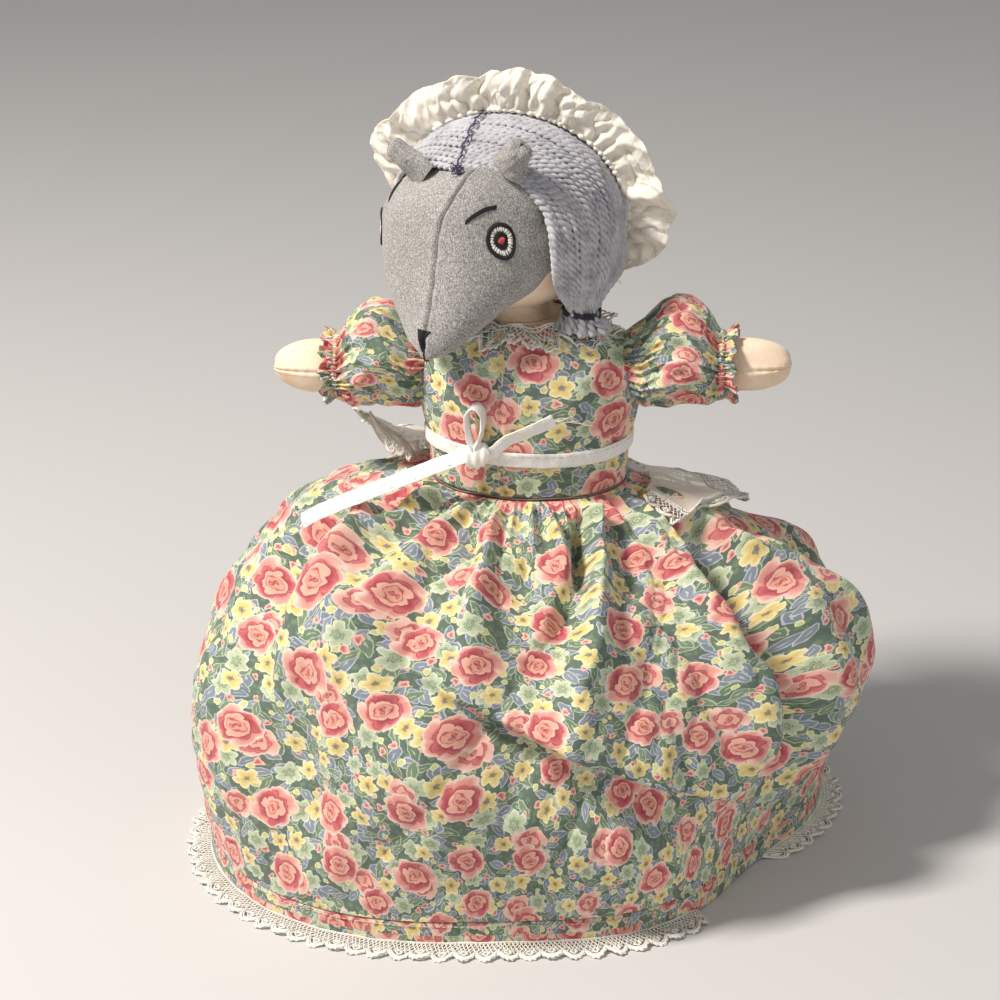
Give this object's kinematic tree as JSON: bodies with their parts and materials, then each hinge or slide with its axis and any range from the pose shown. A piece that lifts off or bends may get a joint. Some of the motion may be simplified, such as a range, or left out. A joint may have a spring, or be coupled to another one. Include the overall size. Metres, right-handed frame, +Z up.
{
  "type": "topsy-turvy cloth doll",
  "caption": "Reversible cloth doll: two dolls joined at the waist under one long skirt, the upper with an animal face, yarn hair, mob cap, flowered dress and sheer apron.",
  "frame": {"origin": "on the floor under the waist's axis, in the middle of the flat where the lower doll's crown rests", "axes": "+Z up along the doll's height, the upper doll's chest faces -Y, +X to the viewer's right"},
  "size_m": [0.3309, 0.2727, 0.3848],
  "materials": {
    "muslin": "plain woven cotton",
    "flannel": "heathered wool flannel",
    "yarn": "two-ply worsted yarn",
    "thread": "embroidery thread",
    "ribbon": "dark yarn tie",
    "floral": "printed quilting cotton",
    "plain": "plain quilting cotton",
    "cap_cloth": "cream muslin",
    "sheer": "sheer organza",
    "lace": "cotton lace",
    "tape": "cotton bias tape",
    "brown_yarn": "two-ply worsted yarn"
  },
  "bodies": {
    "doll": {"upper_torso": "muslin", "bodice": "floral", "collar_lace": "lace", "sleeve_left": "floral", "sleeve_right": "floral", "waist_tape": "tape", "bow_knot": "tape", "bow_loop": "tape", "tail_long": "tape", "tail_short": "tape", "apron": "sheer", "apron_lace": "lace", "skirt": "floral", "skirt_lining": "plain", "lower_torso": "muslin", "lower_bodice": "plain", "lower_sleeve_left": "plain", "lower_sleeve_right": "plain", "lower_neck": "muslin", "lower_head": "muslin", "lower_hair": "brown_yarn", "lower_eye_left": "thread", "lower_eye_right": "thread", "lower_mouth": "plain"},
    "hem": {"hem_band": "floral", "hem_lace": "lace"},
    "neck": {"neck": "muslin"},
    "head": {"head": "muslin", "muzzle_left": "flannel", "muzzle_right": "flannel", "nose_patch": "thread", "mouth_stitch": "thread", "eye_left": "thread", "eye_right": "thread", "brow_left": "thread", "brow_right": "thread", "hair_left": "yarn", "hair_right": "yarn", "parting_stitch": "ribbon", "lock_tie_left": "ribbon", "lock_tie_right": "ribbon", "hair_tuft_left": "yarn", "hair_tuft_right": "yarn", "second_eye_left": "thread", "second_eye_right": "thread", "second_mouth": "plain"},
    "cap": {"cap_elastic": "cap_cloth", "cap_crown": "cap_cloth", "cap_frill": "cap_cloth"},
    "ear_left": {"ear_left": "flannel"},
    "ear_right": {"ear_right": "flannel"},
    "arm_left": {"arm_left": "muslin", "cuff_elastic_left": "floral"},
    "arm_right": {"arm_right": "muslin", "cuff_elastic_right": "floral"},
    "lower_arm_left": {"lower_arm_left": "muslin", "lower_cuff_elastic_left": "plain"},
    "lower_arm_right": {"lower_arm_right": "muslin", "lower_cuff_elastic_right": "plain"}
  },
  "joints": [
    {"name": "skirt_flip", "type": "slide", "parent": "doll", "child": "hem", "axis": [0, 0, 1], "range_m": [0, 0.366], "deforming": ["skirt", "skirt_lining"]},
    {"name": "neck_turn", "type": "hinge", "parent": "doll", "child": "neck", "pos_m": [-0.0055, 0.001, 0.2693], "axis": [0, 0, 1], "range_deg": [-20, 40], "stiffness_Nm_per_rad": 0.08, "deforming": ["hair_tuft_left", "hair_tuft_right"]},
    {"name": "head_nod", "type": "hinge", "parent": "neck", "child": "head", "pos_m": [-0.011, 0.002, 0.3135], "axis": [0.9877, -0.1564, 0], "range_deg": [-2, 6], "stiffness_Nm_per_rad": 0.3},
    {"name": "cap_lift", "type": "hinge", "parent": "head", "child": "cap", "pos_m": [-0.0106, 0.00451, 0.36314], "axis": [0.9877, -0.1564, 0], "range_deg": [0, 60]},
    {"name": "ear_left_fold", "type": "hinge", "parent": "head", "child": "ear_left", "pos_m": [-0.04595, -0.01979, 0.3415], "axis": [0.3994, -0.6053, 0.6885], "range_deg": [-8, 15], "stiffness_Nm_per_rad": 0.002},
    {"name": "ear_right_fold", "type": "hinge", "parent": "head", "child": "ear_right", "pos_m": [-0.00504, -0.03675, 0.3443], "axis": [0.8637, -0.2282, -0.4494], "range_deg": [-8, 20], "stiffness_Nm_per_rad": 0.002},
    {"name": "arm_left_swing", "type": "hinge", "parent": "doll", "child": "arm_left", "pos_m": [-0.054, 0, 0.241], "axis": [0, 1, 0], "range_deg": [-20, 40], "stiffness_Nm_per_rad": 0.05, "deforming": ["sleeve_left"]},
    {"name": "arm_right_swing", "type": "hinge", "parent": "doll", "child": "arm_right", "pos_m": [0.054, 0, 0.247], "axis": [0, -1, 0], "range_deg": [-50, 40], "stiffness_Nm_per_rad": 0.05, "deforming": ["sleeve_right"]},
    {"name": "lower_arm_left_swing", "type": "hinge", "parent": "doll", "child": "lower_arm_left", "pos_m": [0.054, 0, 0.139], "axis": [0, 1, 0], "range_deg": [-5, 35], "stiffness_Nm_per_rad": 0.05, "deforming": ["lower_sleeve_left"]},
    {"name": "lower_arm_right_swing", "type": "hinge", "parent": "doll", "child": "lower_arm_right", "pos_m": [-0.054, 0, 0.139], "axis": [0, -1, 0], "range_deg": [-5, 35], "stiffness_Nm_per_rad": 0.05, "deforming": ["lower_sleeve_right"]}
  ]
}
